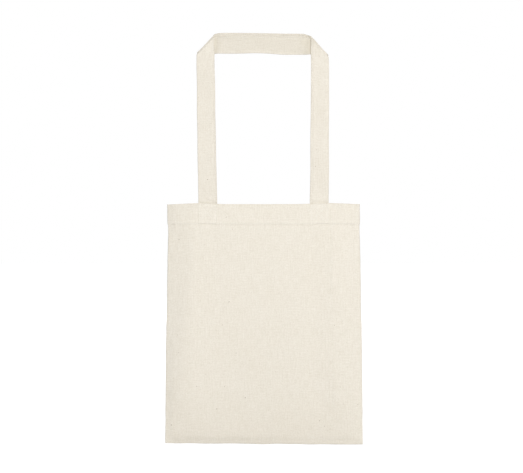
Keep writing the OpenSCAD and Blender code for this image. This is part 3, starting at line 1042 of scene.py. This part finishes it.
def make_handles():
    straps = {"front": Strap(front_loop_high.z - STRAP_W, 1, -1.4 * MM),
              "back": Strap(back_loop_high.z - STRAP_W, -1, -1.2 * MM)}
    for side_name, strap in straps.items():
        piece = strap_piece(f"{side_name}_handle_strap", strap, strap_cloth)
        rows = stitch_piece(f"{side_name}_handle_stitches", strap_edge_stitches(strap), thread)
        for obj in (piece, rows):
            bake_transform(obj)
        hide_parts(f"{side_name}_handle", f"{side_name}_left_strap_end",
                    f"{side_name}_right_strap_end")
        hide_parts(f"{side_name}_handle_stitch")


def make_seams():
    y = (seam_low.y + seam_high.y) / 2 - 1.5 * MM
    top_half = half_width(np.array(seam_high.z))
    for hand_name, hand in HANDS.items():
        a = (hand * (BOTTOM_HALF - SEAM_INSET), 0, seam_low.z)
        b = (hand * (top_half - SEAM_INSET), 0, seam_high.z)
        make_seam(hand_name, f"{hand_name}_side_seam", a, b, (-hand, 0, 0), y)
    a = (-bottom_high.x, 0, BOTTOM + SEAM_INSET)
    b = (bottom_high.x, 0, BOTTOM + SEAM_INSET)
    make_seam("bottom", "bottom_seam", a, b, (0, 0, 1), y)


def make_seam(where, node, a, b, across, y):
    """One seam from a to b: its allowance, the overlock thread round it and the seam stitching."""
    allowance = allowance_piece(f"{where}_seam_allowance", a, b, across, y)
    paths = overlock_paths(a, b, across, y)
    lock = stitch_piece(f"{where}_overlock_thread", paths, thread, OVERLOCK_R)
    row = seam_row(f"{where}_seam_stitches", a, b, y)
    for obj, of_node, slot in ((allowance, node, "canvas"), (lock, f"{where}_overlock", "thread"),
                               (row, f"{where}_seam_stitch", "thread")):
        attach(obj, "back")
        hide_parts(of_node)


def seam_row(name, a, b, y):
    """Lockstitch that joins the panels, a little inside the turned edge."""
    line, length = level_line(a[::2], b[::2], y - CLOTH, -1.0)
    return stitch_piece(name, stitches_along(line, length), thread)


make_panels()
make_hem_stitches()
make_box_stitches()
make_handles()
make_seams()

# ---- floor, light and camera

BAG_MIDDLE = (0, 0, -0.3)
FLOOR_HALF = 14.0
FLOOR_GAP = 3 * MM  # between the bag's bottom edge and the floor
VIEW_WIDTH = 0.886  # width of the view at the bag
VIEW_X, VIEW_Z = -0.0034, -0.3092  # the camera's place across and up


def make_floor():
    """A wide pale floor just under the bag. The camera sees it glow and so as plain white; to
    the other rays it is a light grey."""
    mesh = bpy.data.meshes.new("floor")
    r, z = FLOOR_HALF, BOTTOM - FLOOR_GAP
    mesh.from_pydata([(-r, -r, z), (r, -r, z), (r, r, z), (-r, r, z)], [], [(0, 1, 2, 3)])
    floor = bpy.data.objects.new("floor", mesh)
    bpy.context.scene.collection.objects.link(floor)
    material = bpy.data.materials.new("pale_floor")
    g = Nodes(material)
    g.shader.inputs["Roughness"].default_value = 0.9
    g.shader.inputs["Specular IOR Level"].default_value = 0.1
    g.shader.inputs["Emission Color"].default_value = (1, 1, 1, 1)
    seen = g.add("ShaderNodeLightPath").outputs["Is Camera Ray"]
    g.link(g.math("MULTIPLY", seen, 0.88), g.shader.inputs["Emission Strength"])
    g.link(g.mix(seen, (0.60, 0.60, 0.60), (0.22, 0.22, 0.22)), g.shader.inputs["Base Color"])
    mesh.materials.append(material)


def make_world(strength, seen):
    """Even white light. seen is how bright it looks to the camera behind the bag."""
    world = bpy.data.worlds.new("studio")
    world.use_nodes = True
    nodes, links = world.node_tree.nodes, world.node_tree.links
    out = nodes["World Output"]
    soft = nodes["Background"]
    soft.inputs["Color"].default_value = (1, 1, 1, 1)
    soft.inputs["Strength"].default_value = strength
    bright = nodes.new("ShaderNodeBackground")
    bright.inputs["Color"].default_value = (1, 1, 1, 1)
    bright.inputs["Strength"].default_value = seen
    path = nodes.new("ShaderNodeLightPath")
    mix = nodes.new("ShaderNodeMixShader")
    links.new(path.outputs["Is Camera Ray"], mix.inputs[0])
    links.new(soft.outputs[0], mix.inputs[1])
    links.new(bright.outputs[0], mix.inputs[2])
    links.new(mix.outputs[0], out.inputs["Surface"])
    bpy.context.scene.world = world


def make_area(name, place, aim, size, power):
    light = bpy.data.lights.new(name, "AREA")
    light.shape = "DISK"
    light.size = size
    light.energy = power
    obj = bpy.data.objects.new(name, light)
    bpy.context.scene.collection.objects.link(obj)
    obj.location = place
    x, y, z = direction = np.array(aim, float) - np.array(place, float)
    obj.rotation_euler = (math.acos(-z / np.linalg.norm(direction)), 0, math.atan2(x, -y) + math.pi)


def make_camera():
    """Level with the upper part of the bag and straight in front of it, on a long lens."""
    data = bpy.data.cameras.new("camera")
    data.lens = 85
    data.sensor_width = 36
    camera = bpy.data.objects.new("camera", data)
    bpy.context.scene.collection.objects.link(camera)
    away = VIEW_WIDTH * data.lens / data.sensor_width
    camera.location = (VIEW_X, FRONT_Y - away, VIEW_Z)
    camera.rotation_euler = (math.pi / 2, 0, 0)
    bpy.context.scene.camera = camera


make_floor()
make_world(strength=0.52, seen=1.0)
make_area("key", (0.9, -4.0, 0.7), BAG_MIDDLE, size=1.5, power=120)
make_area("back", (-1.2, 4.0, 1.7), BAG_MIDDLE, size=1.8, power=125)
make_camera()
bpy.context.scene.view_settings.view_transform = "Standard"
bpy.context.scene.view_settings.look = "None"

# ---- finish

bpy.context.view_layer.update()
